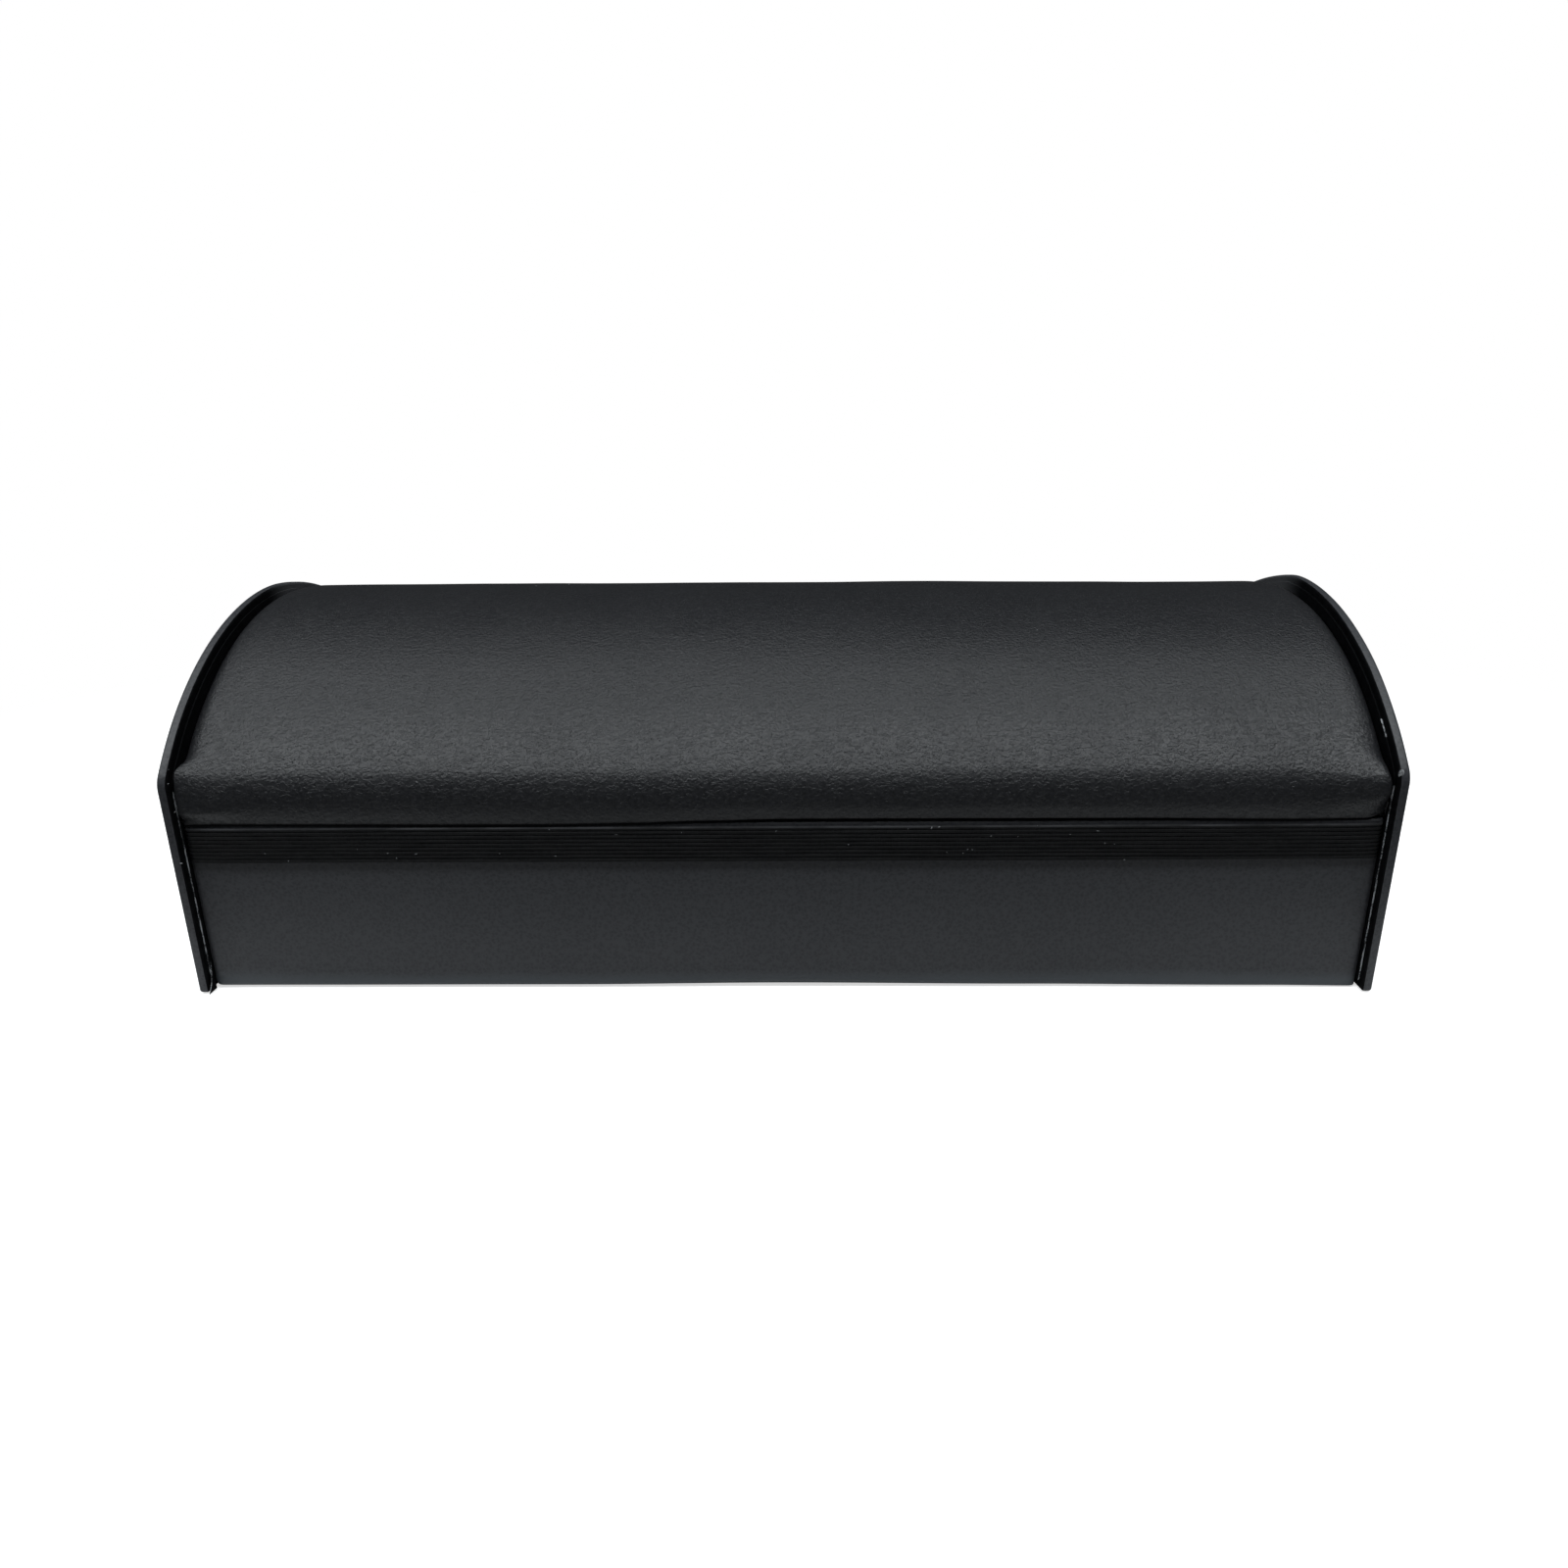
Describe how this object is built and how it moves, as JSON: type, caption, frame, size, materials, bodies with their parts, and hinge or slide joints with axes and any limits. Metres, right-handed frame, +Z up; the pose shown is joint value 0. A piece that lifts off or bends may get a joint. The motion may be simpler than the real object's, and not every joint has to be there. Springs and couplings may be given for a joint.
{
  "type": "bracelet box",
  "caption": "Bracelet box: a lined tray between two raised end cheeks, a padded domed lid on a leatherette fold hinge, and an elastic band across the front wall.",
  "frame": {"origin": "middle of the resting face, on the surface that the box stands on", "axes": "+X along the length to the right as seen from the front, -Y to the front with the elastic band, +Z up"},
  "size_m": [0.23, 0.115, 0.072],
  "materials": {
    "leatherette": "black pebbled leatherette, satin",
    "greyboard": "black-dyed pressed greyboard, matt",
    "velvet": "short black velvet on card",
    "felt": "thin black felt",
    "foam": "grey open-cell foam",
    "elastic": "ribbed black woven elastic"
  },
  "bodies": {
    "base": {"base_board": "greyboard", "base_felt": "felt", "front_wall_board": "greyboard", "rear_wall_board": "greyboard", "front_wall_cover": "leatherette", "rear_wall_cover": "leatherette", "left_cheek_board": "greyboard", "right_cheek_board": "greyboard", "left_cheek_cover": "leatherette", "right_cheek_cover": "leatherette", "left_cheek_facing": "leatherette", "right_cheek_facing": "leatherette", "hinge_flap": "leatherette", "front_tray_lining": "velvet", "rear_tray_lining": "velvet", "left_tray_lining": "velvet", "right_tray_lining": "velvet", "tray_floor_pad": "velvet", "left_band_end": "elastic", "right_band_end": "elastic", "left_band_run": "elastic", "right_band_run": "elastic"},
    "band": {"band_middle": "elastic"},
    "lid": {"lid_board": "greyboard", "left_lid_end_board": "greyboard", "right_lid_end_board": "greyboard", "lid_foam": "foam", "lid_cover": "leatherette", "lid_lining": "velvet", "left_lid_end_lining": "velvet", "right_lid_end_lining": "velvet"}
  },
  "joints": [
    {"name": "lid_hinge", "type": "hinge", "parent": "base", "child": "lid", "pos_m": [0, 0.0557, 0.03555], "axis": [-1, 0, 0], "range_deg": [0, 120]},
    {"name": "band_lift", "type": "slide", "parent": "base", "child": "band", "axis": [0, -1, 0], "range_m": [0, 0.008], "stiffness_N_per_m": 40, "springref_m": -0.002, "deforming": ["left_band_run", "right_band_run"]}
  ]
}
